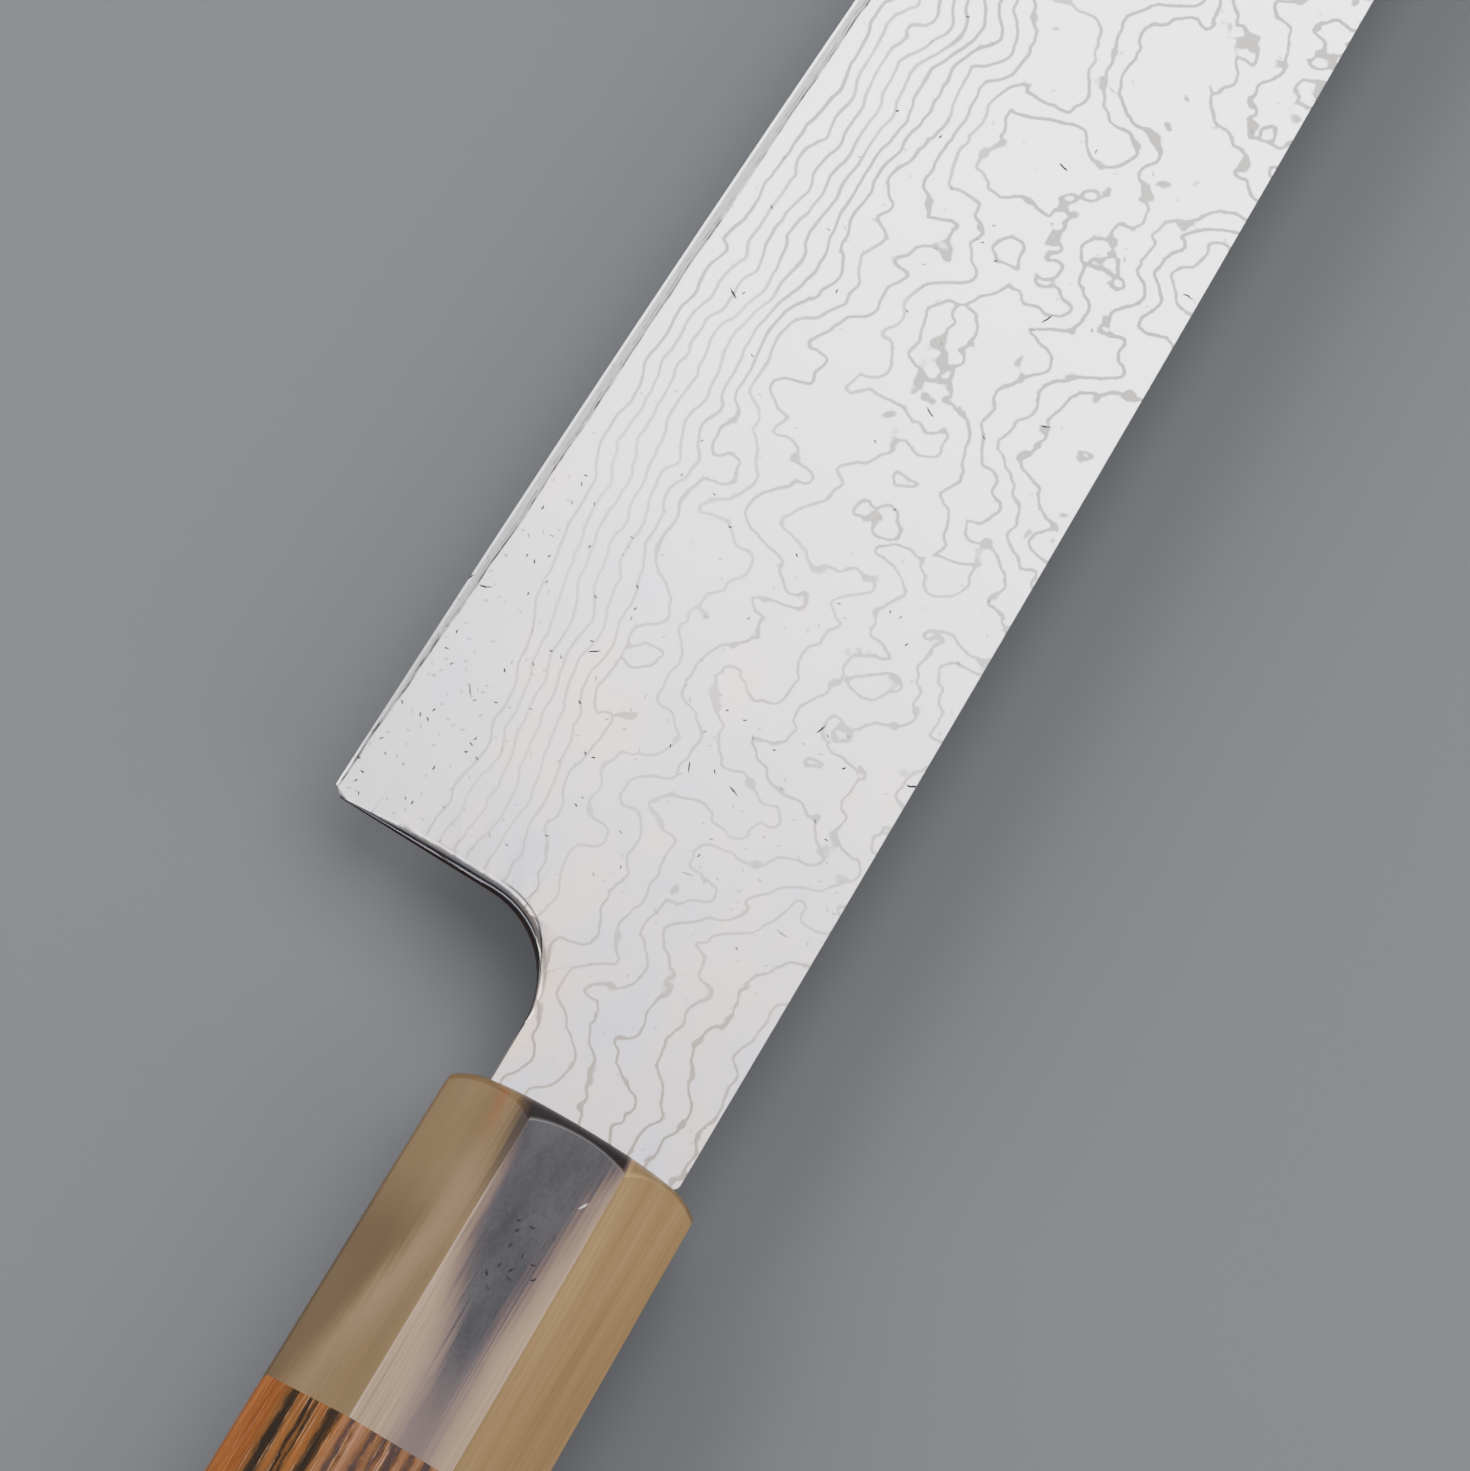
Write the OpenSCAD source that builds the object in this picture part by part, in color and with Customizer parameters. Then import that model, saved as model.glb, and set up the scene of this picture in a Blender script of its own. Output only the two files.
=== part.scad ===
// Kiritsuke kitchen knife with a three-layer forge-welded blade and an eight-sided handle.
// Built with X along the handle towards the point, Y towards the cutting edge and Z through
// the blade. The knife lies on its right side, so the left face of the blade looks up.

/* [Blade outline] */
// Length from the heel to the point
blade_len = 210; // [150:5:270]
// Height of the blade at the heel, spine to edge
heel_h = 47.2; // [40:0.2:54]
// Radius of the long arc that the cutting edge follows
edge_r = 3000; // [1800:100:4000]
// Angle between the edge at the heel and the handle's axis
edge_lean = 1.6; // [0.5:0.1:3]
// Radius of the slight bow in the spine
spine_r = 10000; // [5000:100:15000]
// Length of the slanted point, from the break in the spine to the tip
point_len = 41; // [25:1:60]
// Blunt height left at the very tip
tip_blunt = 0.3; // [0.2:0.1:1]

/* [Neck and heel] */
// Length of the neck, from the ferrule to the back of the heel
neck_len = 15.5; // [13:0.5:20]
// Height of the neck between the spine and the choil
neck_h = 20.5; // [17:0.1:22]
// Distance of the spine from the handle's axis
axis_to_spine = 10.7; // [9:0.1:12]
// Radius of the choil, the curve between the neck and the heel
choil_r = 9.1; // [7:0.1:12]
// Lean of the heel's back towards the point
heel_lean = 0.9; // [0:0.1:4]
// Size of the small flat that takes the sharpness off the heel's corner
heel_flat = 1; // [0.5:0.1:2]
// Radius of the spine's corner where it meets the ferrule
spine_corner_r = 0.8; // [0.3:0.1:2]
// Widest part of the polished rounding along the choil
choil_ease = 1.25; // [0.3:0.05:1.4]
// Rounding left on the neck's underside and at the heel's corner
least_ease = 0.12; // [0.05:0.01:0.3]

/* [Grind] */
// Thickness of the spine over the heel
spine_t = 2.2; // [1.8:0.1:3.2]
// Thickness of the blade at the tip, if the spine ran on that far
tip_spine_t = 0.9; // [0.6:0.05:1.4]
// Height over which the faces are ground convex, from the edge up
grind_h = 48; // [40:1:60]
// Thickness just behind the edge's bevel
behind_edge_t = 0.26; // [0.16:0.02:0.4]
// Thickness left at the cutting edge
edge_t = 0.04; // [0.02:0.01:0.1]
// Width of the honed bevel along the edge
bevel_w = 1.1; // [0.5:0.1:2]
// Width of the honed bevel at the heel's corner
heel_bevel_w = 0.2; // [0.1:0.05:0.5]
// Length in which the bevel grows to its full width
bevel_run = 30; // [10:1:60]
// Width of the bare core steel that shows along the edge
core_show = 7.2; // [4:0.2:12]
// Rounding of the spine's long corners
spine_ease = 0.12; // [0.05:0.01:0.5]

/* [Tang] */
// Length of the tang inside the handle
tang_len = 92; // [60:1:108]
// Height of the tang at the ferrule
tang_h = 11; // [8:0.5:12]
// Height of the tang at its end
tang_end_h = 6; // [4:0.5:8]
// Thickness of the tang at the ferrule
tang_t = 1.8; // [1.4:0.1:1.9]
// Thickness of the tang at its end
tang_end_t = 1.4; // [1.2:0.1:1.8]
// Length of the tang's root inside the neck
tang_root = 6; // [3:1:10]

/* [Handle] */
// Length of the whole handle with its ferrule
handle_len = 140; // [125:1:160]
// Length of the horn ferrule
ferrule_len = 34.6; // [25:0.1:45]
// Height of the handle at its front
front_h = 26.4; // [24:0.1:30]
// Height of the handle at its butt
butt_h = 30.5; // [28:0.1:34]
// Width of the handle at its front
front_w = 21; // [19:0.1:24]
// Width of the flats on the two broad sides, at the front
side_flat = 10.3; // [8:0.1:13]
// Width of the flats above and below, at the front
top_flat = 7.4; // [5:0.1:10]
// Chamfer round the butt
butt_chamfer = 1.2; // [0.5:0.1:3]
// Height of the flat middle of the ferrule's front
dome_flat_h = 19.6; // [18:0.2:21]
// Radius of the arc that rounds the ferrule's front, seen from the broad side
dome_r = 5.3; // [5:0.1:8]

/* [Inside the handle] */
// Diameter of the dowel that joins the ferrule and the grip
dowel_d = 15; // [14:0.1:16.5]
// Length of the dowel past the end of the tang's slot
dowel_past = 3.5; // [2:0.5:8]
// Thickness of the horn in front of the dowel
front_wall = 6; // [4:0.5:10]
// Glue line round the dowel and at its ends
glue_gap = 0.1; // [0.05:0.01:0.2]
// Thickness of the bedding between the tang and its slot
bed_t = 0.6; // [0.3:0.1:1]
// Depth of the bedding's surface behind the ferrule's front
bed_recess = 0.4; // [0.2:0.1:1]

/* [Hidden] */

// Every cutting tool reaches this far past the solid that it cuts
reach = 1.3 * heel_h;
// A cut that opens at a face starts this far outside it
through = 1;

heel_y = heel_h - axis_to_spine;
edge_cx = neck_len - edge_r * sin(edge_lean);
edge_cy = heel_y - edge_r * cos(edge_lean);
tip_x = neck_len + blade_len;
break_x = tip_x - point_len;

// The cutting edge, one arc from the heel to the tip
function edge_y(x) = edge_cy + sqrt(edge_r ^ 2 - (x - edge_cx) ^ 2);

// The spine, an arc that is level over the heel
function spine_y(x) = spine_r - sqrt(spine_r ^ 2 - (x - neck_len) ^ 2) - axis_to_spine;

// The small round where the spine meets the ferrule
function spine_corner(x) =
    x < spine_corner_r
        ? spine_corner_r - sqrt(spine_corner_r ^ 2 - (spine_corner_r - x) ^ 2)
        : 0;

// The back of the blade: the spine, and then the straight slant down to the tip
tip_slope = (edge_y(tip_x) - tip_blunt - spine_y(break_x)) / point_len;
function back_y(x) =
    x < break_x
        ? spine_y(x) + spine_corner(x)
        : spine_y(break_x) + (x - break_x) * tip_slope;

// Half the thickness at the spine, thinning evenly from the heel to the tip
function spine_half_t(x) =
    (spine_t + (tip_spine_t - spine_t) * (x - neck_len) / blade_len) / 2;

// Half the thickness q behind the edge: convex, and level from grind_h up
function half_t(x, q) =
    let (left = 1 - min(q, grind_h) / grind_h)
    spine_half_t(x) - (spine_half_t(x) - behind_edge_t / 2) * left ^ 2;

// The honed bevel widens from the heel's corner
function bevel(x) =
    heel_bevel_w + (bevel_w - heel_bevel_w) * max(0, min(1, (x - neck_len) / bevel_run));

// Half the thickness of the core steel, so that the grind bares a band of core_show
function core_half_t(x) = half_t(x, core_show);

// One section across the blade, as Y and Z: up the left face from the edge to the spine,
// round the spine's eased corner, and back down the right face
face_rows = 13;
ease_rows = 3;
row_growth = 1.3;
least_share = 1 / 4;
function left_side(x) =
    let (
        edge = edge_y(x),
        h = edge - back_y(x),
        ease = min(spine_ease, h * least_share, half_t(x, h) / 2),
        first = min(bevel(x), h * least_share),
        run = h - ease - first
    )
    concat(
        [[edge, edge_t / 2]],
        [for (i = [0:face_rows])
            let (q = first + run * (i / face_rows) ^ row_growth)
            [edge - q, half_t(x, q)]],
        [for (i = [1:ease_rows])
            let (a = 90 * i / ease_rows)
            [edge - h + ease * (1 - sin(a)), half_t(x, h) - ease * (1 - cos(a))]]
    );

function section(x) =
    let (left = left_side(x), last = len(left) - 1)
    concat(
        [for (p = left) [x, p[0], p[1]]],
        [for (i = [last:-1:0]) [x, left[i][0], -left[i][1]]]
    );

corner_steps = 4;
bevel_steps = 4;
body_steps = 12;
point_steps = 10;
function spaced(a, b, n) = [for (i = [1:n]) a + (b - a) * i / n];
stations = concat(
    [0],
    spaced(0, spine_corner_r, corner_steps),
    [neck_len],
    spaced(neck_len, neck_len + bevel_run, bevel_steps),
    spaced(neck_len + bevel_run, break_x, body_steps),
    spaced(break_x, tip_x, point_steps)
);

// A closed skin over a row of sections that all have the same number of points
module skin(sections) {
    n = len(sections[0]);
    m = len(sections);
    polyhedron(
        points = [for (s = sections) each s],
        faces = concat(
            [[for (j = [0:n - 1]) j]],
            [for (i = [0:m - 2], j = [0:n - 1])
                let (k = (j + 1) % n)
                [i * n + k, i * n + j, (i + 1) * n + j]],
            [for (i = [0:m - 2], j = [0:n - 1])
                let (k = (j + 1) % n)
                [i * n + k, (i + 1) * n + j, (i + 1) * n + k]],
            [[for (j = [n - 1:-1:0]) (m - 1) * n + j]]
        )
    );
}

// The line round the neck, the choil and the back of the heel. Each point has its place,
// the direction into the steel and the width of the polished rounding there.
neck_y = neck_h - axis_to_spine;
choil_x = neck_len - choil_r;
choil_y = neck_y + choil_r;
choil_steps = 14;
back_steps = 10;
// The rounding keeps its full width over this share of the heel's back, and then fades
full_share = 0.4;
back_dir = [cos(heel_lean), -sin(heel_lean)];
back_start = [choil_x, choil_y] + choil_r * back_dir;
up_dir = [sin(heel_lean), cos(heel_lean)];
back_len = (heel_y - heel_flat - back_start[1]) / cos(heel_lean);
corner = back_start + back_len * up_dir;
flat_angle = 45;
flat_dir = [sin(flat_angle), -cos(flat_angle)];
flat_up = [cos(flat_angle), sin(flat_angle)];
flat_start = corner + least_ease * flat_up;
flat_end = corner + (2 * heel_flat + through) * flat_up;
heel_top = corner + heel_flat / sin(flat_angle) * flat_up;

function choil_point(i) =
    let (a = -90 + (90 - heel_lean) * i / choil_steps)
    let (swell = sin(min(90, 180 * i / choil_steps)))
    [
        [choil_x, choil_y] + choil_r * [cos(a), sin(a)],
        [cos(a), sin(a)],
        least_ease + (choil_ease - least_ease) * swell
    ];

function back_point(i) =
    let (part = i / back_steps)
    [
        back_start + back_len * part * up_dir,
        back_dir,
        least_ease + (choil_ease - least_ease) * min(1, (1 - part) / (1 - full_share))
    ];

heel_line = concat(
    [[[-through, neck_y], [0, -1], least_ease]],
    [for (i = [0:choil_steps]) choil_point(i)],
    [for (i = [1:back_steps]) back_point(i)],
    [[flat_start, flat_dir, least_ease]],
    [[flat_end, flat_dir, least_ease]]
);

// The tool that cuts the heel's line and rounds it. Its wall bulges into the steel above
// and below the middle of the blade, so what stays is a rounded rim. The bulge reaches the
// faces where the rounding ends, however thin the blade is there.
rim_rows = 7;
rim_margin = 1.03;
tool_depth = choil_r - 2 * through;
function rim_half_t(at) = rim_margin * half_t(at[0], max(0, edge_y(at[0]) - at[1]));
function rim_section(p) =
    let (place = p[0], into = p[1], ease = p[2])
    let (half = rim_half_t(place + ease * into))
    let (wall = [for (i = [rim_rows:-1:-rim_rows])
        [ease * (1 - sqrt(1 - (i / rim_rows) ^ 2)), half * i / rim_rows]])
    let (around = concat(
        [[-tool_depth, reach / 2], [ease, reach / 2]],
        wall,
        [[ease, -reach / 2], [-tool_depth, -reach / 2]]
    ))
    [for (c = around) [place[0] + into[0] * c[0], place[1] + into[1] * c[0], c[1]]];

module heel_tool() {
    skin([for (p = heel_line) rim_section(p)]);
    translate([-through, neck_y + tool_depth / 2, -reach / 2])
        linear_extrude(reach)
            polygon([
                [0, 0],
                [through + choil_x, 0],
                [through + choil_x + choil_r - tool_depth / 2, choil_r - tool_depth / 2],
                [through + neck_len - tool_depth / 2, reach],
                [0, reach]
            ]);
}

// The tang, a plain taper. The slot for it is the same shape, larger by its bedding.
module tang(grow, front) {
    intersection() {
        linear_extrude(reach, center = true)
            polygon([
                [front, tang_h / 2 + grow],
                [-tang_len - grow, tang_end_h / 2 + grow],
                [-tang_len - grow, -tang_end_h / 2 - grow],
                [front, -tang_h / 2 - grow]
            ]);
        rotate([90, 0, 0])
            linear_extrude(reach, center = true)
                polygon([
                    [front, tang_t / 2 + grow],
                    [-tang_len - grow, tang_end_t / 2 + grow],
                    [-tang_len - grow, -tang_end_t / 2 - grow],
                    [front, -tang_t / 2 - grow]
                ]);
    }
}

module whole_blade() {
    difference() {
        skin([for (x = stations) section(x)]);
        heel_tool();
    }
    tang(0, tang_root);
}

// A layer between two multiples of the core's half thickness, along the whole knife
module layer(low, high) {
    rear = -tang_len - reach;
    ahead = tip_x + reach;
    rotate([90, 0, 0])
        linear_extrude(4 * reach, center = true)
            polygon([
                [rear, low * core_half_t(rear)],
                [ahead, low * core_half_t(ahead)],
                [ahead, high * core_half_t(ahead) + (high > 1 ? reach : 0)],
                [rear, high * core_half_t(rear) + (high > 1 ? reach : 0)]
            ]);
}

// The eight facets round the handle, each with its angle from the edge's side and its
// distance from the axis at the front
chamfer_y = (front_h - side_flat) / 2;
chamfer_z = (front_w - top_flat) / 2;
chamfer_angle = atan2(chamfer_y, chamfer_z);
chamfer_half = side_flat / 2 * cos(chamfer_angle) + front_w / 2 * sin(chamfer_angle);
FACETS = [
    [0, front_h / 2],
    [chamfer_angle, chamfer_half],
    [90, front_w / 2],
    [180 - chamfer_angle, chamfer_half],
    [180, front_h / 2],
    [180 + chamfer_angle, chamfer_half],
    [270, front_w / 2],
    [360 - chamfer_angle, chamfer_half]
];

// The corner where two facets meet, as Y and Z
function facet_corner(a, a_out, b, b_out) =
    [a_out * sin(b) - b_out * sin(a), b_out * cos(a) - a_out * cos(b)] / sin(b - a);

// The handle's size at a place along it, as a multiple of its front
function swell(x) = 1 - (butt_h / front_h - 1) * x / handle_len;

// One section of the handle, which swells evenly towards the butt
function handle_section(x, inset) =
    let (grow = swell(x))
    [for (i = [0:len(FACETS) - 1])
        let (a = FACETS[i], b = FACETS[(i + 1) % len(FACETS)])
        let (p = facet_corner(a[0], a[1] * grow - inset, b[0], b[1] * grow - inset))
        [x, p[0], p[1]]];

module along_axis(rear) {
    translate([rear, 0, 0])
        rotate([0, 90, 0])
            children();
}

// Sides of the turned and drilled rounds
round_sides = 96;

// The rounding of the ferrule's front: ovals of the handle's own proportions, which grow on an
// arc from the flat middle back to the facets, and then clear the facets
oval_sides = 72;
dome_steps = 10;
dome_sweep = 66;
dome_clear = 1.3;
function oval(x, half_h) =
    [for (i = [0:oval_sides - 1])
        let (a = 360 * i / oval_sides)
        [x, half_h * cos(a), half_h * front_w / front_h * sin(a)]];
function dome_half_h(a) = dome_flat_h / 2 + dome_r * sin(a);
module ferrule_dome() {
    skin(concat(
        [oval(-ferrule_len - through, dome_clear * dome_half_h(dome_sweep))],
        [for (i = [dome_steps:-1:0])
            let (a = dome_sweep * i / dome_steps)
            oval(-dome_r * (1 - cos(a)), dome_half_h(a))]
    ));
}

dowel_rear = -tang_len - bed_t - dowel_past;
dowel_len = -dowel_rear - front_wall - glue_gap;
module dowel_bore() {
    along_axis(dowel_rear - glue_gap)
        cylinder(h = dowel_len + 2 * glue_gap, d = dowel_d + 2 * glue_gap, $fn = round_sides);
}

// The knife stands on the middle of its box: the butt, the tip, the heel and the handle
middle_x = (tip_x - handle_len) / 2;
full_swell = swell(butt_chamfer - handle_len);
middle_y = (edge_y(heel_top[0]) - front_h / 2 * full_swell) / 2;
module in_place() {
    translate([-middle_x, -middle_y, front_w / 2 * full_swell])
        children();
}

// Hard centre steel: the edge, the bare band above it and the middle of the tang
module core_steel() {
    color("gainsboro")
        in_place()
            intersection() {
                whole_blade();
                layer(-1, 1);
            }
}

// Patterned soft steel welded to the left face
module cladding_left() {
    color("silver")
        in_place()
            intersection() {
                whole_blade();
                layer(1, 2);
            }
}

// Patterned soft steel welded to the right face
module cladding_right() {
    color("silver")
        in_place()
            intersection() {
                whole_blade();
                mirror([0, 0, 1])
                    layer(1, 2);
            }
}

// Horn ferrule with its domed front, slot and dowel bore
module ferrule() {
    color("burlywood")
        in_place()
            difference() {
                intersection() {
                    skin([
                        handle_section(-ferrule_len, 0),
                        handle_section(through, 0)
                    ]);
                    ferrule_dome();
                }
                dowel_bore();
                tang(bed_t, through);
            }
}

// Striped hardwood grip, bored for the dowel
module handle_grip() {
    color("sienna")
        in_place()
            difference() {
                skin([
                    handle_section(-handle_len, butt_chamfer),
                    handle_section(butt_chamfer - handle_len, 0),
                    handle_section(-ferrule_len, 0)
                ]);
                dowel_bore();
            }
}

// Round wooden dowel that joins the ferrule and the grip and holds the tang
module tang_dowel() {
    color("wheat")
        in_place()
            difference() {
                along_axis(dowel_rear)
                    cylinder(h = dowel_len, d = dowel_d, $fn = round_sides);
                tang(bed_t, through);
            }
}

// Resin that beds the tang in its slot and seals the ferrule's mouth
module tang_bedding() {
    color("dimgray")
        in_place()
            difference() {
                tang(bed_t, -bed_recess);
                tang(0, tang_root);
            }
}

core_steel();
cladding_left();
cladding_right();
ferrule();
handle_grip();
tang_dowel();
tang_bedding();
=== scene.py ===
import math

import bmesh
import bpy
from mathutils import Matrix, Vector


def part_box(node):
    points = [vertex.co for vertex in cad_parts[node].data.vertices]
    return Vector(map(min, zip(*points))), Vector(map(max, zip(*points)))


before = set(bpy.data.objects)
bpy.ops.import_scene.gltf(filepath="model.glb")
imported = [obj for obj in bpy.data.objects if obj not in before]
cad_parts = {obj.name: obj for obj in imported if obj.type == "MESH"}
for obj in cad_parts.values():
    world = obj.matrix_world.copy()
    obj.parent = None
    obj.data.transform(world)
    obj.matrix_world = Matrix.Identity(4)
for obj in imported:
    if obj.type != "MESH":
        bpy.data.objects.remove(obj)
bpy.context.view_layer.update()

# The knife's own place. Everything below is measured from the front of the horn ferrule, on the
# axis of the handle: +X to the point, +Y to the cutting edge, +Z out of the blade's left face.
mm = 0.001
ferrule_low, ferrule_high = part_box("ferrule")
ferrule_front = Vector((
    ferrule_high.x,
    (ferrule_low.y + ferrule_high.y) / 2,
    (ferrule_low.z + ferrule_high.z) / 2,
))

# The camera looks almost straight down on the knife, from over the grip and a touch on the edge's
# side. The point runs out past the top of the picture, and the grip past its bottom.
picture_middle = ferrule_front + Vector((40.256, 6.549, 0)) * mm
camera_distance = 1.0054
camera_lens = 260.6
film_width = 36
camera_reach = 20
looks_back = Vector((-0.1516, 0.0395, 0.9876)).normalized()
picture_right = Vector((0.5056, -0.8555, 0.1119))
picture_right = (picture_right - looks_back * picture_right.dot(looks_back)).normalized()
picture_up = looks_back.cross(picture_right)
camera_data = bpy.data.cameras.new("camera")
camera_data.sensor_fit = "HORIZONTAL"
camera_data.sensor_width = film_width
camera_data.lens = camera_lens
camera_data.clip_end = camera_reach
camera = bpy.data.objects.new("camera", camera_data)
bpy.context.scene.collection.objects.link(camera)
turn = Matrix((picture_right, picture_up, looks_back)).transposed().to_4x4()
camera.matrix_world = Matrix.Translation(picture_middle + looks_back * camera_distance) @ turn
bpy.context.scene.camera = camera

# Plain pale paper on a table, which is not part of the knife. The knife lies flat on it.
floor_width = 6
paper_colour = (0.147, 0.152, 0.163, 1)
paper_roughness = 0.9
paper_specular = 0.2
floor_mesh = bpy.data.meshes.new("floor")
floor = bpy.data.objects.new("floor", floor_mesh)
bpy.context.scene.collection.objects.link(floor)
sheet = bmesh.new()
bmesh.ops.create_grid(sheet, x_segments=1, y_segments=1, size=floor_width / 2)
sheet.to_mesh(floor_mesh)
sheet.free()
paper = bpy.data.materials.new("pale_paper")
paper.use_nodes = True
paper_shader = paper.node_tree.nodes["Principled BSDF"]
paper_shader.inputs["Base Color"].default_value = paper_colour
paper_shader.inputs["Roughness"].default_value = paper_roughness
paper_shader.inputs["Specular IOR Level"].default_value = paper_specular
floor_mesh.materials.append(paper)

# Plain soft studio light, aimed at the middle of the picture: a broad softbox high past the point,
# the main one low past the cutting edge, a narrow strip behind the butt, a weaker one on the
# spine's side, and an even grey room.
room_colour = (0.92, 0.95, 1, 1)
room_strength = 0.18


def add_softbox(name, place, width, height, power):
    """A softbox that faces the middle of the picture, in metres and watts."""
    data = bpy.data.lights.new(name, "AREA")
    data.shape = "RECTANGLE"
    data.size = width
    data.size_y = height
    data.energy = power
    box = bpy.data.objects.new(name, data)
    bpy.context.scene.collection.objects.link(box)
    box.location = place
    box.rotation_euler = (Vector(place) - picture_middle).to_track_quat("Z", "Y").to_euler()


add_softbox("softbox_above", (0.9, -0.08, 1.95), 1.65, 1.65, 38)
add_softbox("softbox_low", (0.6, 1.83, 0.82), 2.7, 2.1, 97)
add_softbox("softbox_strip", (-0.78, 0.36, 0.78), 1.0, 0.2, 4)
add_softbox("softbox_side", (0.1, -1.1, 0.9), 1, 1, 8)
room = bpy.data.worlds.new("room")
room.use_nodes = True
room.node_tree.nodes["Background"].inputs["Color"].default_value = room_colour
room.node_tree.nodes["Background"].inputs["Strength"].default_value = room_strength
bpy.context.scene.world = room


# The blade: a plain hard core steel between two claddings of many thin layers. It is ground
# convex and polished, which bares the layers as wandering lines, and the core as a plain band
# along the edge. The three are forge-welded, so one finish runs over them all.
class Wire:
    """A shader socket that can be used in a Python sum."""

    def __init__(self, tree, socket):
        self.tree = tree
        self.socket = socket

    def node(self, kind, settings=None, sockets=None, output=0):
        """Adds a node: its settings first, then the values or links of its sockets."""
        made = self.tree.nodes.new("ShaderNode" + kind)
        for name, value in (settings or {}).items():
            setattr(made, name, value)
        for name, value in (sockets or {}).items():
            if isinstance(value, Wire):
                self.tree.links.new(value.socket, made.inputs[name])
            else:
                made.inputs[name].default_value = value
        return Wire(self.tree, made.outputs[output])

    def math(self, operation, *values):
        return self.node("Math", {"operation": operation}, dict(enumerate(values)))

    def __add__(self, other):
        return self.math("ADD", self, other)

    def __radd__(self, other):
        return self.math("ADD", other, self)

    def __sub__(self, other):
        return self.math("SUBTRACT", self, other)

    def __rsub__(self, other):
        return self.math("SUBTRACT", other, self)

    def __mul__(self, other):
        return self.math("MULTIPLY", self, other)

    def __rmul__(self, other):
        return self.math("MULTIPLY", other, self)

    def __truediv__(self, other):
        return self.math("DIVIDE", self, other)

    def __pow__(self, other):
        return self.math("POWER", self, other)

    def __abs__(self):
        return self.math("ABSOLUTE", self)


def new_finish(name):
    """A new material, its shader, and the place on the knife in millimetres."""
    material = bpy.data.materials.new(name)
    material.use_nodes = True
    tree = material.node_tree
    coordinates = Wire(tree, tree.nodes.new("ShaderNodeTexCoord").outputs["Object"])
    place = coordinates.node("Mapping", {}, {
        "Vector": coordinates,
        "Location": -ferrule_front / mm,
        "Scale": (1 / mm, 1 / mm, 1 / mm),
    })
    return material, tree.nodes["Principled BSDF"], place


def split(place):
    """The X, Y and Z of a place."""
    parts = place.node("SeparateXYZ", {}, {0: place}).socket.node
    return [Wire(place.tree, parts.outputs[i]) for i in range(3)]


def joined(x, y, z):
    """The place at X, Y and Z."""
    return x.node("CombineXYZ", {}, {0: x, 1: y, 2: z})


def distance(place, other):
    """How far a place is from another."""
    return place.node("VectorMath", {"operation": "DISTANCE"}, {0: place, 1: other}, "Value")


def rise(value, off, on):
    """0 at off, 1 at on, the same beyond them and smooth between. Either may be the greater."""
    sockets = {"Value": value, "From Min": off, "From Max": on}
    return value.node("MapRange", {"interpolation_type": "SMOOTHSTEP"}, sockets)


def greater(one, other):
    """The greater of two numbers."""
    return one.math("MAXIMUM", one, other)


def noise(place, grain, detail=2, roughness=0.5):
    """Noise about 0, between -0.5 and 0.5, whose grains have a length along X, Y and Z."""
    shrunk = place.node("Mapping", {}, {"Vector": place, "Scale": [1 / length for length in grain]})
    return place.node("TexNoise", {}, {
        "Vector": shrunk,
        "Scale": 1,
        "Detail": detail,
        "Roughness": roughness,
    }) - 0.5


def mixed(mask, plain, marked):
    """One colour where the mask is 0, and the other where it is 1."""
    return mask.node("Mix", {"data_type": "RGBA"}, {0: mask, 6: plain, 7: marked}, 2)


def feed(shader, name, wire):
    """Links a wire to one of the shader's sockets."""
    wire.tree.links.new(wire.socket, shader.inputs[name])


# The blade's outline in millimetres, as its solids have it.
neck_length = 15.5
neck_edge_y = 9.8
heel_edge_y = 36.5
edge_radius = 3000
edge_lean = math.radians(1.6)
edge_centre = (
    neck_length - edge_radius * math.sin(edge_lean),
    heel_edge_y - edge_radius * math.cos(edge_lean),
    0,
)
heel_bevel = 0.2
full_bevel = 1.1
bevel_run = 30
choil_radius = 9.1
choil_centre = (neck_length - choil_radius, neck_edge_y + choil_radius, 0)
heel_lean = math.radians(0.9)

# The layers in millimetres: how high the core shows along the edge, and how much higher at the
# heel, the depth from line to line, and how far above the core depth and height are the same.
# Beyond that the grind is flatter, so that the depth grows by only a share of the height.
plain_band = 3.2
heel_band = 7.3
layer_gap = 1.45
straight_layers = 9
flatter = 0.24

# How the layers wander, in millimetres: the grains of their kinks, swings and spikes, the cells
# that crease them, the step over which their slope is measured, and how far off the pattern is
# read on either face, so that the faces differ. The spikes lean by a cosine and a sine.
kink_grain = (3.6, 3.6, 3.6)
swing_grain = (10, 14, 11)
spike_grain = (9, 3, 9)
spike_lean = (0.5, 0.86)
crease_cell = 7.5
slope_step = 0.12
face_offset = 37

# The steel's colours: its plain faces, the painted shade that darkens them towards the neck, the
# lines, the core by the heel, the honed bevel and its scratches, the pits, and the painted dark
# reflection in the rounded rim of heel and choil.
face_cool = (0.93, 0.945, 0.99, 1)
face_warm = (0.98, 0.965, 0.95, 1)
neck_shade_cool = (0.475, 0.475, 0.565, 1)
neck_shade_warm = (0.67, 0.53, 0.46, 1)
line_grey = (0.43, 0.415, 0.4, 1)
line_brown = (0.35, 0.305, 0.27, 1)
core_grey = (0.64, 0.64, 0.66, 1)
honed_dark = (0.3, 0.29, 0.3, 1)
honed_light = (0.44, 0.43, 0.43, 1)
scratch_brown = (0.13, 0.115, 0.095, 1)
scratch_dark = (0.06, 0.055, 0.05, 1)
pit_dark = (0.05, 0.047, 0.045, 1)
rim_reflection_inner = (0.13, 0.13, 0.145, 1)
rim_reflection_outer = (0.1, 0.1, 0.112, 1)
rim_brown = (0.12, 0.07, 0.064, 1)
steel_roughness = 0.33


def above_edge(x, y):
    """How far a place lies above the cutting edge."""
    return edge_radius - distance(joined(x, y, 0), edge_centre)


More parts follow.
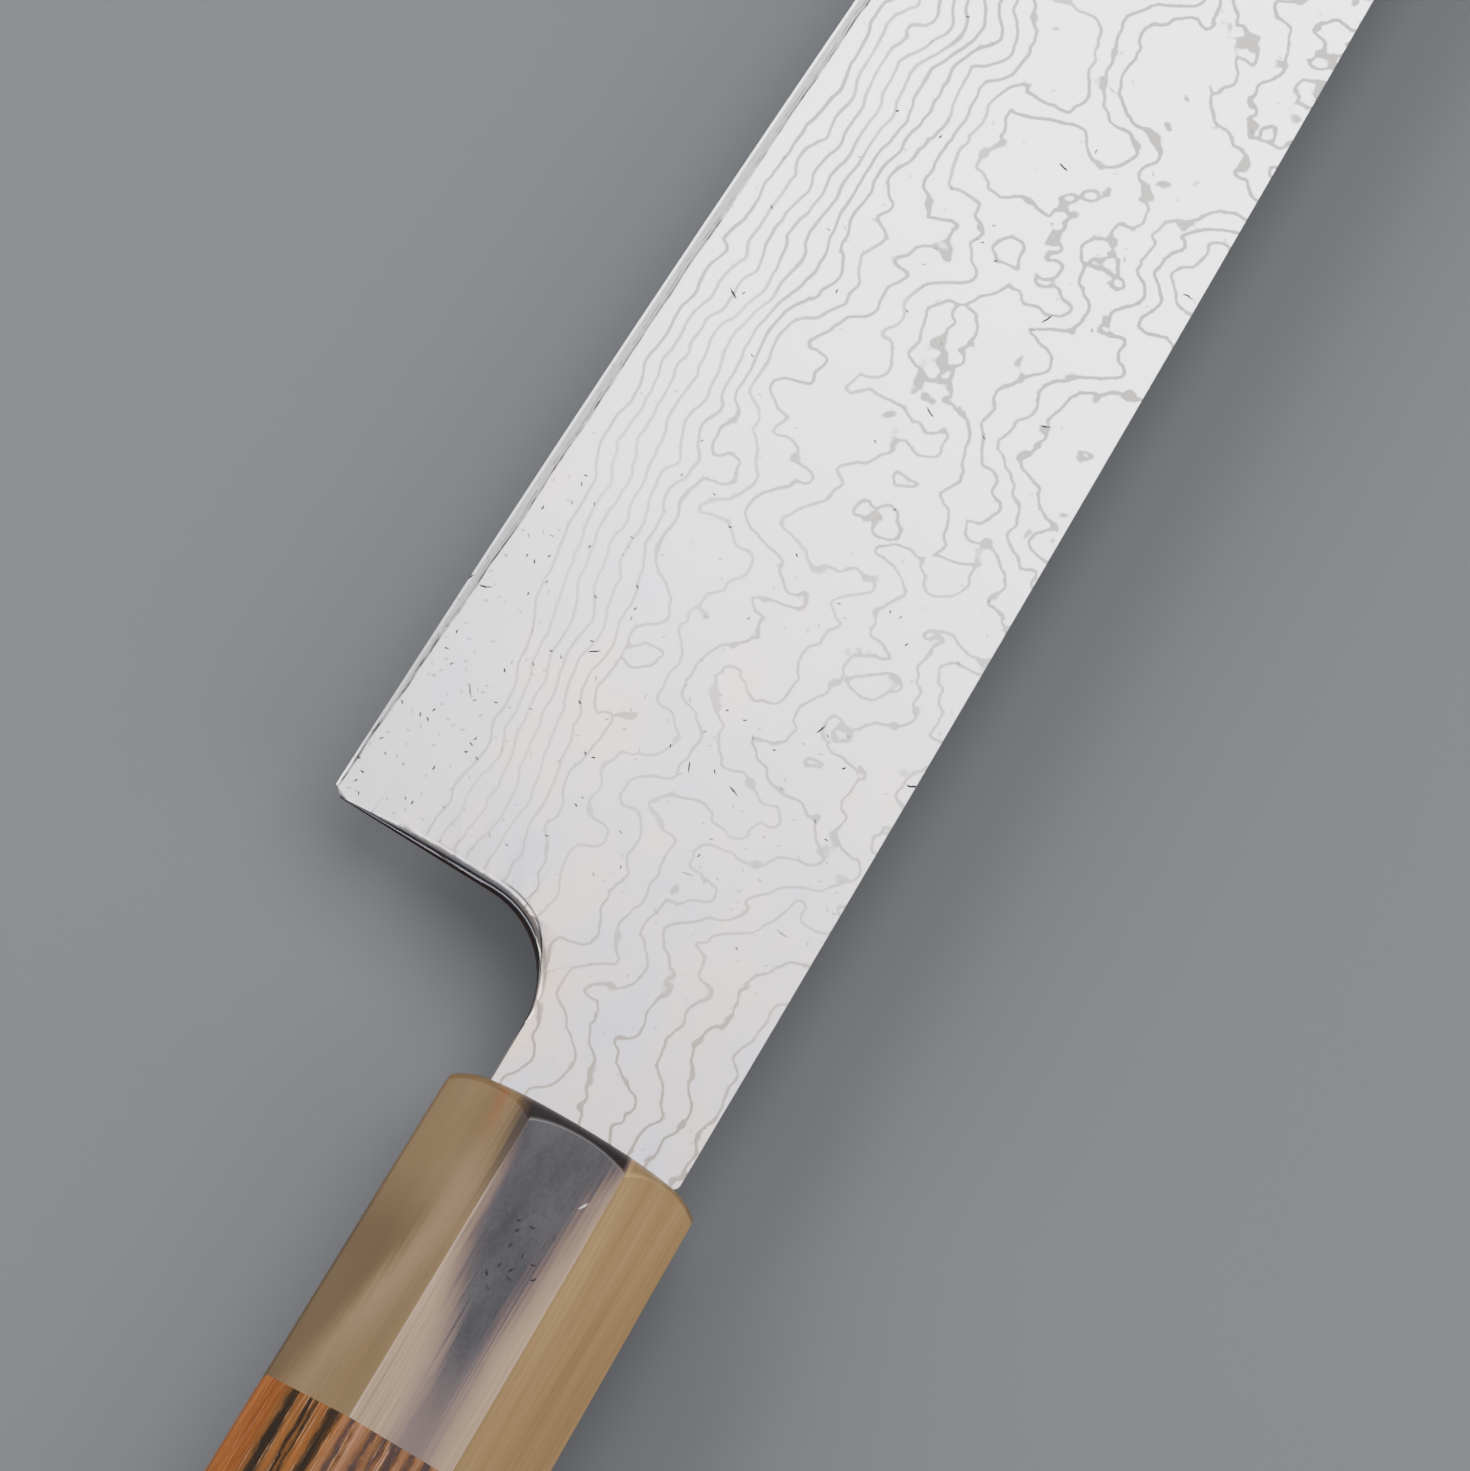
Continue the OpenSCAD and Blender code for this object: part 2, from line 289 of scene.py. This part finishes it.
def above_core(x, y):
    """How far a place lies above the core's plain band, which widens towards the heel."""
    return above_edge(x, y) - plain_band - heel_band * rise(x, 75, 10)


def wandering(above):
    """0 where the layers run straight along the edge, 1 where they wander."""
    return rise(above, 4, 15)


def past_neck(x):
    """0 in the neck, 1 where the blade has its whole height."""
    return rise(x, 8, 45)


def cells(place, size):
    """How far the nearest cell's centre is, in cells."""
    settings = {"voronoi_dimensions": "2D"}
    return place.node("TexVoronoi", settings, {"Vector": place, "Scale": 1 / size})


def flecks(x, y, cell, length, width, turns):
    """Small bent marks, one to a cell: the mark, a number of its own, and a second one."""
    place = joined(x / cell, y / cell, 0)
    near = place.node("TexVoronoi", {"voronoi_dimensions": "2D"}, {"Vector": place, "Scale": 1})
    own = split(Wire(place.tree, near.socket.node.outputs["Color"]))
    centre = Wire(place.tree, near.socket.node.outputs["Position"])
    off_centre = place.node("VectorMath", {"operation": "SUBTRACT"}, {0: place, 1: centre})
    from_x, from_y = split(off_centre)[:2]
    angle = own[2] * turns
    cosine = angle.math("COSINE", angle)
    sine = angle.math("SINE", angle)
    lengthwise = (from_x * cosine + from_y * sine) * cell / length
    crosswise = (from_y * cosine - from_x * sine) * cell / width
    bent = crosswise + 1.5 * lengthwise * lengthwise * (own[1] - 0.3)
    out = (lengthwise * lengthwise + bent * bent) ** 0.5
    return rise(out, 1.15, 0.75), own[0], own[1]


def layer_depth(x, y, side):
    """The depth of the layer that the grind bares: even near the edge, wandering above it."""
    above = above_core(x, y)
    wander = wandering(above)
    restless = wander * (0.3 + 0.7 * past_neck(x))
    kink_x = noise(joined(x, y, side), kink_grain, 1.5)
    kink_y = noise(joined(y, x, side + 9), kink_grain, 1.5)
    bent = joined(x + side + 2.2 * kink_x, y + 1.6 * kink_y, side)
    swings = noise(bent, swing_grain, 1.5, 0.45)
    across, along = spike_lean
    leaning_x = across * x - along * y + 2 * kink_x
    leaning_y = along * x + across * y + kink_y
    spikes = noise(joined(leaning_x, leaning_y, side), spike_grain, 1.5, 0.45)
    creases = cells(bent, crease_cell) - 0.4
    near = above.math("MINIMUM", above, straight_layers)
    beyond = greater(above - straight_layers, 0)
    in_neck = rise(x, 34, 8) * wander
    depth = near + beyond * (flatter + 0.22 * in_neck) + 0.03 * (x - 30) * wander
    depth = depth + 1.7 * kink_y + 0.16 * (x - 12) * in_neck
    depth = depth + swings * (4.2 + 3.6 * restless) + spikes * 2.4 * restless
    return depth + creases * (1 + restless)


def layer_lines(x, y, side, above, ragged):
    """The lines between the layers, whose width stays the same however steep the layers lie."""
    face = joined(x + side, y, side)
    wander = wandering(above)
    depth = layer_depth(x, y, side)
    slope_x = (layer_depth(x + slope_step, y, side) - depth) / slope_step
    slope_y = (layer_depth(x, y + slope_step, side) - depth) / slope_step
    slope = (slope_x * slope_x + slope_y * slope_y) ** 0.5
    count = depth / layer_gap + 0.5
    level = count.math("FLOOR", count)
    off_line = abs(count - level - 0.5) * layer_gap / greater(slope, 0.3 + 0.12 * wander)
    off_line = off_line + 0.16 * ragged * (0.3 + rise(above, 12, 32))

    # Lines swell and shrink, and run together in blobs far from the edge.
    swelling = noise(face, (2.6, 2.6, 2.6), 1)
    far_up = rise(above, 20, 42) * rise(x, 20, 60)
    blobs = rise(swelling + 0.05 * far_up, 0.15, 0.27) * (0.5 + 0.25 * far_up) * wander
    width = 0.135 + 0.03 * rise(x, 20, 90) + 0.12 * swelling
    width = width + blobs * (0.4 + 0.6 * past_neck(x))
    below_core_line = rise(level, -0.6, -0.4)
    line = rise(off_line / width, 1.5, 0.5) * below_core_line

    # Each line has its own strength, and they are bolder towards the spine, point and handle.
    own = level.node("TexWhiteNoise", {"noise_dimensions": "1D"}, {"W": level + side}, "Value")
    strength = 0.85 + 0.3 * own + 0.9 * noise(face, (9, 9, 9))
    bolder = 0.6 + 0.2 * rise(above, 4, 24) + 0.42 * rise(x, 45, 95) + 0.3 * rise(x, 22, 2)
    return line * strength * bolder


def polishing_pits(x, y, side, in_core, by_heel, ragged):
    """Small pits and short scratches, thickest in the core by the heel and few in the neck."""
    clusters = noise(joined(x + side, y, side), (5, 5, 5), 1)
    fleck, chance, weight = flecks(x + side + 0.3 * ragged, y, 0.95, 0.24, 0.09, 6)
    often = 0.02 + 0.28 * in_core * by_heel + 0.06 * by_heel
    often = often + 0.5 * clusters * by_heel * (0.3 + in_core)
    pits = fleck * rise(chance + often, 0.985, 0.995) * (0.4 + 0.6 * rise(weight, 0.6, 0.85))
    fleck, chance, weight = flecks(x + 0.3 * ragged, y + side, 4.5, 0.65, 0.1, 3)
    scratches = fleck * rise(chance + 0.16 * by_heel, 0.96, 0.97) * (0.3 + 0.7 * rise(x, 15, 40))
    marks = greater(pits, scratches)
    return marks * (in_core + (1 - in_core) * (0.3 + 0.7 * rise(x, 10, 32)))


def rounded_rim(x, y):
    """The rounding of heel and choil: where it lies, where its painted dark reflection lies, and
    the painted colour.
    """
    past = greater(y - choil_centre[1], 0)
    sliding = joined(x - past * math.tan(heel_lean), y - past, 0)
    inward = distance(sliding, choil_centre) - choil_radius
    band = 0.12 + 1.2 * rise(y, 9.9, 14) * (0.15 + 0.85 * rise(y, 35.5, 25))
    across = inward / band
    by_choil = rise(x, 30, 25)
    on_band = rise(across, 1.1, 0.9) * by_choil
    streaks = noise(joined(across * 3.2 + y * 0.07, y * 0.1, 3), (1, 1, 1), 2.5, 0.65)
    on_rim = rise(across + 0.8 * streaks, 1.16, 1.04) * by_choil
    # Painted dark reflection: dark over the outer half of the rounding, then a dark line and
    # feathery streaks inside its bright middle.
    outer_reflection = rise(across + 0.15 * streaks, 0.56, 0.42)
    feathers = rise(y, 20, 22.5) * rise(y, 27.5, 25) * rise(streaks, -0.05, 0.1)
    inner_reflection = rise(across + 0.6 * streaks, 0.84, 0.92) * (rise(y, 19.5, 17) + feathers)
    tone = mixed(rise(across, 0.4, 0.6), rim_reflection_outer, rim_reflection_inner)
    tone = mixed(rise(across, 0.22, 0.1), tone, rim_brown)
    return on_band, on_rim * greater(outer_reflection, inner_reflection), tone


def make_layered_steel():
    """The finish of the core and of both claddings."""
    material, shader, place = new_finish("layered_steel")
    x, y, z = split(place)
    side = face_offset * z.math("SIGN", z)
    face = joined(x + side, y, side)
    above = above_core(x, y)
    ragged = noise(face, (0.4, 0.4, 0.4), 1)
    in_core = rise(above, 3, -1)
    by_heel = rise(x, 62, 30)

    # Lines and pits stay off the spine and off the rounded rim.
    on_band, rim_reflection, rim_reflection_tone = rounded_rim(x, y)
    facing_y = split(place.node("TexCoord", output="Normal"))[1]
    on_face = (1 - on_band) * rise(facing_y, -0.8, -0.4)
    line = layer_lines(x, y, side, above, ragged) * on_face
    pit = polishing_pits(x, y, side, in_core, by_heel, ragged) * on_face

    # The honed bevel, with scratches along its two borders.
    up = above_edge(x, y)
    along_bevel = x.node("Clamp", {}, {0: (x - neck_length) / bevel_run})
    bevel = heel_bevel + (full_bevel - heel_bevel) * along_bevel
    scuffed = noise(place, (1.5, 0.6, 0.6), 2)
    unsteady = noise(place, (5, 5, 5), 2)
    border = rise(abs(up - bevel - 0.45 * unsteady), 0.16, 0.05) * (0.75 + 1.8 * scuffed)
    inner_border = rise(abs(up - 0.75 * bevel - 0.7 * unsteady), 0.12, 0.04)
    inner_border = inner_border * rise(scuffed, -0.1, 0.05)
    very_edge = rise(up, 0.32, 0.18)
    honed = rise(up - bevel, 0.05, -0.05) * (1 - very_edge)

    tint = noise(face, (13, 9, 9), 3, 0.6)
    colour = mixed(0.5 + 2 * tint, face_cool, face_warm)
    # Painted shade: the faces grow darker towards the neck, tinted cool and warm.
    colour = mixed(rise(x, 100, -4) * 0.95, colour, mixed(0.5 + 3 * tint, neck_shade_cool, neck_shade_warm))
    colour = mixed(in_core * 0.5 * by_heel, colour, core_grey)
    colour = mixed(line, colour, mixed(rise(x, 30, 6), line_grey, line_brown))
    colour = mixed(honed, colour, mixed(0.5 + 1.5 * scuffed, honed_dark, honed_light))
    colour = mixed(inner_border * 0.7, colour, scratch_brown)
    colour = mixed(border, colour, scratch_dark)
    colour = mixed(pit, colour, pit_dark)
    # Painted dark reflection in the rounded rim of heel and choil, brownish at the very outside.
    colour = mixed(rim_reflection, colour, rim_reflection_tone)
    feed(shader, "Base Color", colour)
    shader.inputs["Metallic"].default_value = 1
    brushed = noise(place, (0.08, 6, 6), 2)
    rough = steel_roughness + 0.12 * line + 0.08 * brushed + 0.2 * pit
    feed(shader, "Roughness", rough - 0.12 * on_band)
    bump = place.node("Bump", {}, {
        "Height": line * -0.5 - pit + brushed * 0.05,
        "Strength": 0.25,
        "Distance": 0.02 * mm,
    })
    feed(shader, "Normal", bump)
    return material


def dress(node, material):
    """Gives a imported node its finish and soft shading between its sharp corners."""
    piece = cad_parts[node]
    piece.data.materials.clear()
    piece.data.materials.append(material)
    piece.data.attributes.remove(piece.data.attributes["custom_normal"])
    for face in piece.data.polygons:
        face.use_smooth = True
    weld = piece.modifiers.new("weld", "WELD")
    weld.merge_threshold = 0.0005 * mm
    corners = piece.modifiers.new("corners", "EDGE_SPLIT")
    corners.split_angle = math.radians(30)
    flats = piece.modifiers.new("flats", "WEIGHTED_NORMAL")
    flats.weight = 100


layered_steel = make_layered_steel()
for node in ("core_steel", "cladding_left", "cladding_right"):
    dress(node, layered_steel)


# The ferrule: one piece of pale horn with a slate streak in its broad sides, cut to eight facets,
# domed at the front and polished. It is glued on the dowel, flush with the grip.

# Its cross-section at the front, in millimetres: half its thickness, half the width of its broad
# sides, and how far its slanting sides are from the axis. All grow by a share over the handle.
handle_length = 140
butt_growth = 0.1553
half_thickness = 10.5
broad_half = 5.15
chamfer_away = 11.34
chamfer_slope_y = 0.645
chamfer_slope_z = 0.764

# The horn's colours: cream, mauve and slate on the broad sides; tan on the others, with a pink band
# painted as a soft highlight, painted shade, a darker part along the ridge and a rust streak; then
# the dome painted dark, the painted shade of its corners, the painted highlights of its rim and
# ridges, and the flecks and nick.
cream_deep = (0.225, 0.155, 0.1, 1)
cream_pale = (0.39, 0.275, 0.184, 1)
mauve_front = (0.105, 0.074, 0.076, 1)
mauve_back = (0.16, 0.115, 0.108, 1)
slate_deep = (0.032, 0.03, 0.036, 1)
slate_pale = (0.078, 0.075, 0.081, 1)
tan_deep = (0.15, 0.092, 0.039, 1)
tan_pale = (0.24, 0.154, 0.071, 1)
tan_pink = (0.3, 0.195, 0.125, 1)
tan_shaded = (0.062, 0.037, 0.016, 1)
ridge_black = (0.025, 0.017, 0.014, 1)
streak_rust = (0.16, 0.06, 0.02, 1)
dome_shade_black = (0.014, 0.01, 0.01, 1)
corner_shade_brown = (0.05, 0.03, 0.015, 1)
rim_highlight_grey = (0.2, 0.185, 0.18, 1)
ridge_highlight_pale = (0.48, 0.36, 0.28, 1)
fleck_black = (0.012, 0.012, 0.014, 1)
nick_white = (0.75, 0.73, 0.7, 1)
nick_back = 6.6
nick_to_spine = 3.3
nick_turn = math.radians(30)
horn_specular = 0.14


def brightened(colour, factor):
    """A colour made lighter or darker."""
    return colour.node("HueSaturation", {}, {"Color": colour, "Value": factor})


def make_horn():
    """The finish of the ferrule, from its dome, painted dark, back to the grip."""
    material, shader, place = new_finish("horn")
    x, y, z = split(place)
    back = x * -1
    swell = 1 + butt_growth * back / handle_length
    ridge = broad_half * swell
    fine = noise(place, (26, 0.3, 0.3), 2, 0.6)
    bands = noise(place, (40, 2.4, 2.4), 1)
    clouds = noise(place, (6, 3, 3), 3)
    grain = noise(place, (0.5, 0.35, 0.35), 2, 0.7)

    # The broad sides: slate that narrows and fades towards the grip, in mauve and cream.
    slate_half = 5.6 - 1.2 * rise(back, 1, 9) - 2.6 * rise(back, 6, 30)
    slate_middle = 0.9 - 2 * rise(back, 6, 34)
    inside = slate_half - abs(y - slate_middle) + 3.8 * fine + 1.4 * bands + 1.4 * clouds
    cream = mixed(0.5 + 2 * fine, cream_deep, cream_pale)
    mauve = mixed(rise(back, 14, 30), mauve_front, mauve_back)
    slate = mixed(0.5 + 1.7 * clouds + 0.6 * grain, slate_deep, slate_pale)
    broad = mixed(rise(inside, -2, 1), cream, mauve)
    broad = mixed(rise(inside, 0.1, 1.6) * (1 - 0.85 * rise(back, 22, 35)), broad, slate)

    # The other sides: tan, painted much lighter on the spine's side as light falling there, with a
    # pink band painted as a soft highlight and painted shade by the edge.
    tan = mixed(0.5 + 1.2 * bands, tan_deep, tan_pale)
    # Painted light: the sides by the spine are painted much lighter, a little less towards the
    # grip.
    spine_side = rise(y, 0.5, -0.5)
    tan = brightened(tan, 0.78 + (1.33 - 0.16 * rise(back, 12, 32)) * spine_side)
    lines = fine * (0.9 + 0.6 * spine_side) + 0.3 * grain
    tan = mixed(0.5 + lines, brightened(tan, 0.72), tan)
    from_band = y - greater(4.5 + 0.19 * back, 7.3) + 1.5 * fine + clouds
    # The horn's pink, painted lighter as a soft highlight along the middle of the chamfer; then
    # painted shade towards its outer side.
    pink_band = rise(abs(from_band), 3, 0) * rise(back, 3, 12) * (1 - 0.7 * rise(back, 22, 33))
    shaded = rise(from_band, 0, 2.4) * (0.1 + 0.9 * rise(back, 8, 19))
    tan = mixed(pink_band * 0.26, tan, tan_pink)
    tan = mixed(shaded * 0.8, tan, tan_shaded)
    # Darker along the ridge by the front, and a rust streak in the horn.
    ridge_dark = rise(y, 5, 5.2) * rise(y + 2.5 * fine + 0.1 * back, 7.5, 5.8) * rise(back, 16, 2)
    rust_streak = rise(abs(y - 8.4 + 0.1 * back), 0.8, 0.1) * rise(back, 7, 1)
    tan = mixed(ridge_dark * 0.95, tan, ridge_black)
    tan = mixed(rust_streak * 0.6, tan, streak_rust)
    on_broad = rise(abs(y), ridge + 0.06, ridge - 0.06)
    colour = mixed(on_broad, tan, broad)

    # The front and the edges in painted light and shade: the dome painted dark, a painted highlight
    # along its rim, painted shade on the rounded corners and painted highlights along the ridges.
    below = half_thickness * swell - abs(z)
    domed = rise(below, 0.12, 0.4) * rise(abs(y - 0.3), 5.6, 4.9) * rise(back, 3.5, 2.5)
    # Painted shade: the dome is painted near black, as the shade and dark reflection it has by the
    # neck.
    colour = mixed(domed * 0.95, colour, dome_shade_black)
    below_chamfer = chamfer_away * swell - abs(y) * chamfer_slope_y - abs(z) * chamfer_slope_z
    at_front = rise(back, 4, 3)
    # Painted shade on the rounded front corners on the spine's side.
    rounded = rise(below_chamfer, 0, 0.5) * at_front * rise(y + ridge, 0, -0.5)
    colour = mixed(rounded * 0.45, colour, corner_shade_brown)
    # Painted highlight along the front rim of the broad sides.
    rim_highlight = rise(below, 0.01, 0.05) * rise(below, 0.22, 0.1) * on_broad * at_front
    colour = mixed(rim_highlight * 0.36, colour, rim_highlight_grey)
    # Painted highlight along the ridges between the sides.
    ridge_highlight = rise(abs(abs(y) - ridge), 0.16, 0.04) * rise(back, 5, 12)
    colour = mixed(ridge_highlight * 0.4, colour, ridge_highlight_pale)

    # Black flecks in the middle of the slate, and one white nick.
    fleck, chance, weight = flecks(x + 0.4 * grain, y, 1.4, 0.3, 0.12, 3)
    zone = rise(back, 8, 12) * rise(back, 21, 16) * rise(abs(y + 0.5), 3.5, 2)
    dash = fleck * rise(chance - 0.25 * zone, 0.4, 0.38) * zone * (0.3 + 0.7 * weight)
    colour = mixed(dash, colour, fleck_black)
    by_nick = joined(x + nick_back, y + nick_to_spine, 0)
    turned = by_nick.node("VectorRotate", {"rotation_type": "Z_AXIS"}, {
        "Vector": by_nick,
        "Angle": nick_turn,
    })
    along_nick, across_nick = split(turned)[:2]
    nick = rise(abs(along_nick), 0.6, 0.2) * rise(abs(across_nick + 0.3 * grain), 0.12, 0.04)
    colour = mixed(nick * on_broad * (0.7 + grain), colour, nick_white)
    feed(shader, "Base Color", colour)
    feed(shader, "Roughness", 0.5 + 0.2 * fine + 0.2 * clouds)
    shader.inputs["Specular IOR Level"].default_value = horn_specular
    height = 0.6 * fine + 0.3 * clouds + 0.3 * grain - dash
    bump = place.node("Bump", {}, {"Height": height, "Strength": 0.15, "Distance": 0.1 * mm})
    feed(shader, "Normal", bump)
    return material


dress("ferrule", make_horn())


# The grip: a hardwood with dark stripes along it, bored for the dowel, cut to the same eight
# facets as the ferrule, chamfered round its butt and waxed. Each stripe has its place across the
# grain and half its width, in millimetres, and the growth rings bend round under the top.
stripes = (
    (13, 0.2), (7.05, 0.6), (4.65, 0.18), (3.9, 0.1), (1.15, 0.62), (-1.4, 0.14), (-3.35, 0.12),
    (-4.45, 0.12), (-5.7, 0.34), (-7.4, 0.1), (-9.1, 0.3), (-11, 0.13), (-13.2, 0.5), (-15.6, 0.2),
)
ring_round = 4
ring_slope = 0.55
wood_deep = (0.12, 0.034, 0.007, 1)
wood_bright = (0.26, 0.09, 0.022, 1)
# Painted sheen: the top side's paler colours.
wood_sheen_deep = (0.30, 0.125, 0.07, 1)
wood_sheen_pale = (0.47, 0.24, 0.15, 1)
halo_brown = (0.085, 0.04, 0.012, 1)
thread_pale = (0.46, 0.26, 0.17, 1)
stripe_black = (0.012, 0.008, 0.005, 1)
# Painted sheen: the stripes' paler colour on the top side.
stripe_sheen = (0.05, 0.033, 0.033, 1)
pore_brown = (0.05, 0.02, 0.01, 1)
wood_specular = 0.05


def make_striped_wood():
    """The finish of the grip, with a painted sheen that makes its top paler than its other sides.
    """
    material, shader, place = new_finish("striped_wood")
    x, y, z = split(place)
    bend = noise(place, (60, 9, 9), 2)
    jagged = noise(place, (2.6, 0.7, 0.7), 4, 0.75)
    fibre = noise(place, (7, 0.14, 0.14), 2, 0.65)
    glow = noise(place, (18, 3.5, 3.5), 2)
    ring = (z * z + ring_round ** 2) ** 0.5
    across = y - ring_slope * ring + 0.5 + 2 * bend + 1.7 * jagged
    stripe = across * 0
    halo = across * 0
    for at, half in stripes:
        away = abs(across - at)
        stripe = greater(stripe, rise(away, half + 0.34, half - 0.16))
        halo = greater(halo, rise(away, half + 1.5, half))
    # Painted sheen: the top side is painted paler than the others, its stripes too.
    on_broad = rise(abs(y), 6.2, 5)
    ground = mixed(0.5 + 2 * fibre + 1.3 * glow, wood_deep, wood_bright)
    ground = mixed(on_broad * 0.8, ground, mixed(0.5 + 1.6 * fibre, wood_sheen_deep, wood_sheen_pale))
    colour = mixed(halo * (0.8 + jagged), ground, halo_brown)
    thread = rise(noise(place, (9, 0.2, 0.2), 2), 0.09, 0.19) * (0.15 + 0.85 * halo)
    colour = mixed(thread * 0.7, colour, thread_pale)
    colour = mixed(stripe * (0.96 + 1.3 * fibre), colour, mixed(on_broad, stripe_black, stripe_sheen))
    pores = rise(noise(place, (1.6, 0.09, 0.09), 1), 0.16, 0.22)
    colour = mixed(pores * 0.5, colour, pore_brown)
    feed(shader, "Base Color", colour)
    feed(shader, "Roughness", 0.5 + 0.25 * fibre)
    shader.inputs["Specular IOR Level"].default_value = wood_specular
    height = fibre + jagged * 0.5 - pores
    bump = place.node("Bump", {}, {"Height": height, "Strength": 0.2, "Distance": 0.1 * mm})
    feed(shader, "Normal", bump)
    return material


dress("handle_grip", make_striped_wood())


# Inside the handle: a turned dowel of pale wood that joins ferrule and grip, and the dark resin
# that beds the tang in it and closes the ferrule's mouth.
dowel_deep = (0.45, 0.31, 0.17, 1)
dowel_pale = (0.62, 0.47, 0.3, 1)
resin_deep = (0.05, 0.045, 0.04, 1)
resin_pale = (0.1, 0.085, 0.07, 1)


def make_dowel_wood():
    """The plain, unwaxed finish of the dowel."""
    material, shader, place = new_finish("dowel_wood")
    fibre = noise(place, (12, 0.3, 0.3), 3)
    feed(shader, "Base Color", mixed(0.5 + 1.5 * fibre, dowel_deep, dowel_pale))
    feed(shader, "Roughness", 0.7 + 0.2 * fibre)
    return material


def make_resin():
    """The cloudy finish of the bedding."""
    material, shader, place = new_finish("bedding_resin")
    clouds = noise(place, (1.5, 1.5, 1.5), 2)
    feed(shader, "Base Color", mixed(0.5 + clouds, resin_deep, resin_pale))
    feed(shader, "Roughness", 0.5 + 0.3 * clouds)
    return material


dress("tang_dowel", make_dowel_wood())
dress("tang_bedding", make_resin())
